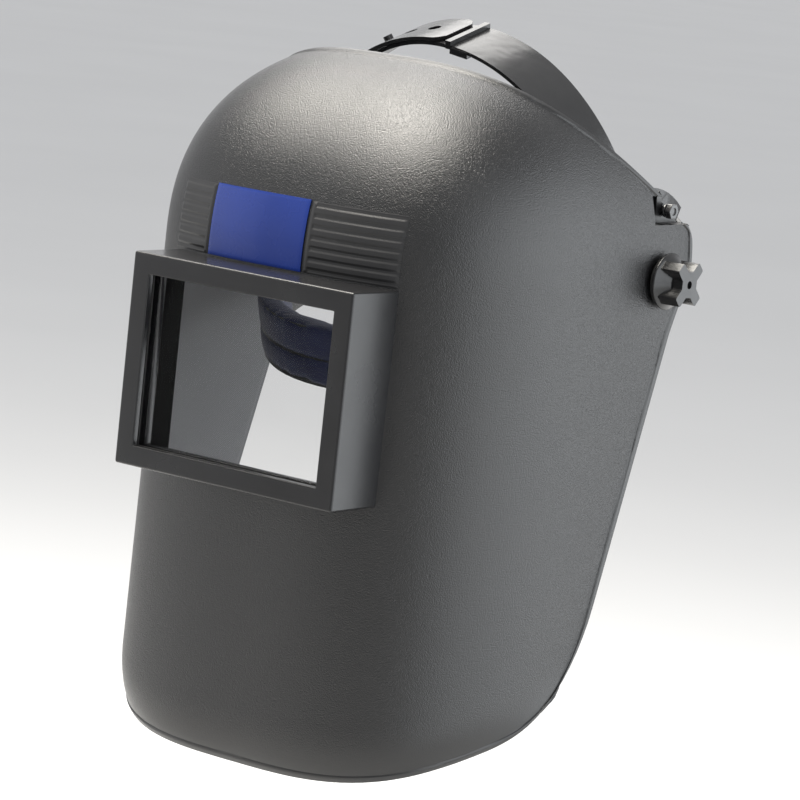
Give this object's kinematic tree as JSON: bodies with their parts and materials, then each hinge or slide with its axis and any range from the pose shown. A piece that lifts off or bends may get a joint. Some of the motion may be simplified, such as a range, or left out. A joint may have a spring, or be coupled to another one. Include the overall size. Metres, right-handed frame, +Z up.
{
  "type": "welding helmet",
  "caption": "Full-face welding helmet: grained shell tilting on side knobs, boxed window with a clear cover lens, padded headband, crown strap and nape ratchet.",
  "frame": {"origin": "centre of the headband ring, where the wearer's head carries the helmet", "axes": "front of the helmet is -Y, the wearer's left is +X, up is +Z; the window stands upright and the headgear hangs nose down by 17 degrees"},
  "size_m": [0.2264, 0.2755, 0.3101],
  "materials": {
    "shell_black": "fine leather grain with a satin sheen, smooth at the chin",
    "gloss_black": "smooth gloss",
    "satin_black": "smooth satin",
    "rubber": "matt",
    "clear": "clear polycarbonate",
    "label_blue": "smooth gloss, plain",
    "peg": "smooth gloss",
    "zinc": "zinc plated",
    "brass": "machined",
    "nylon": "natural nylon",
    "navy_pad": "woven cover over foam",
    "foam": "soft foam cushion"
  },
  "bodies": {
    "headgear": {"headband": "satin_black", "sweatband": "navy_pad", "pivot_carrier_left": "satin_black", "pivot_carrier_right": "satin_black", "pivot_bolt_left": "zinc", "pivot_bolt_right": "zinc", "crown_strap_left": "satin_black", "crown_strap_right": "satin_black", "crown_rivet_left": "satin_black", "crown_rivet_right": "satin_black", "temple_rivet_left": "satin_black", "temple_rivet_right": "satin_black"},
    "shell": {"shell": "shell_black", "window_frame": "gloss_black", "lens_gasket": "rubber", "cover_lens": "clear", "lens_retainer": "satin_black", "brow_label": "label_blue", "limit_plate_left": "satin_black", "limit_plate_right": "satin_black", "limit_pin_left": "peg", "limit_pin_right": "peg"},
    "tilt_knob_left": {"tilt_knob_left": "satin_black", "knob_washer_left": "rubber", "knob_nut_left": "brass"},
    "tilt_knob_right": {"tilt_knob_right": "satin_black", "knob_washer_right": "rubber", "knob_nut_right": "brass"},
    "nape": {"housing_front": "satin_black", "housing_rear": "satin_black", "nape_pad": "foam"},
    "ratchet": {"ratchet_pinion": "nylon", "ratchet_knob": "satin_black", "ratchet_screw": "zinc"},
    "rear_strap_left": {"rear_strap_left": "satin_black"},
    "rear_strap_right": {"rear_strap_right": "satin_black"}
  },
  "joints": [
    {"name": "shell_tilt", "type": "hinge", "parent": "headgear", "child": "shell", "pos_m": [0, -0.0055, 0.018], "axis": [-1, 0, 0], "range_deg": [0, 80]},
    {"name": "tilt_knob_left_turn", "type": "hinge", "parent": "headgear", "child": "tilt_knob_left", "pos_m": [0, -0.0055, 0.018], "axis": [1, 0, 0], "range_deg": [0, 360]},
    {"name": "tilt_knob_right_turn", "type": "hinge", "parent": "headgear", "child": "tilt_knob_right", "pos_m": [0, -0.0055, 0.018], "axis": [-1, 0, 0], "range_deg": [0, 360]},
    {"name": "nape_slide", "type": "slide", "parent": "headgear", "child": "nape", "axis": [0, -0.9563, -0.2924], "range_m": [-0.00601, 0.00601]},
    {"name": "ratchet_turn", "type": "hinge", "parent": "nape", "child": "ratchet", "pos_m": [0, 0.09371, 0.02867], "axis": [0, -0.9563, -0.2924], "range_deg": [-45, 45]},
    {"name": "rear_strap_left_flex", "type": "hinge", "parent": "headgear", "child": "rear_strap_left", "pos_m": [0.074, 0.03777, 0.01157], "axis": [0, -0.2924, 0.9563], "range_deg": [-4.67, 4.67]},
    {"name": "rear_strap_right_flex", "type": "hinge", "parent": "headgear", "child": "rear_strap_right", "pos_m": [-0.074, 0.03777, 0.01157], "axis": [0, 0.2924, -0.9563], "range_deg": [-4.67, 4.67]}
  ],
  "couplings": [
    {"joint": "nape_slide", "follows": "ratchet_turn", "m_per_rad": 0.00759},
    {"joint": "rear_strap_left_flex", "follows": "ratchet_turn", "ratio": 0.10256},
    {"joint": "rear_strap_right_flex", "follows": "ratchet_turn", "ratio": 0.10256}
  ]
}
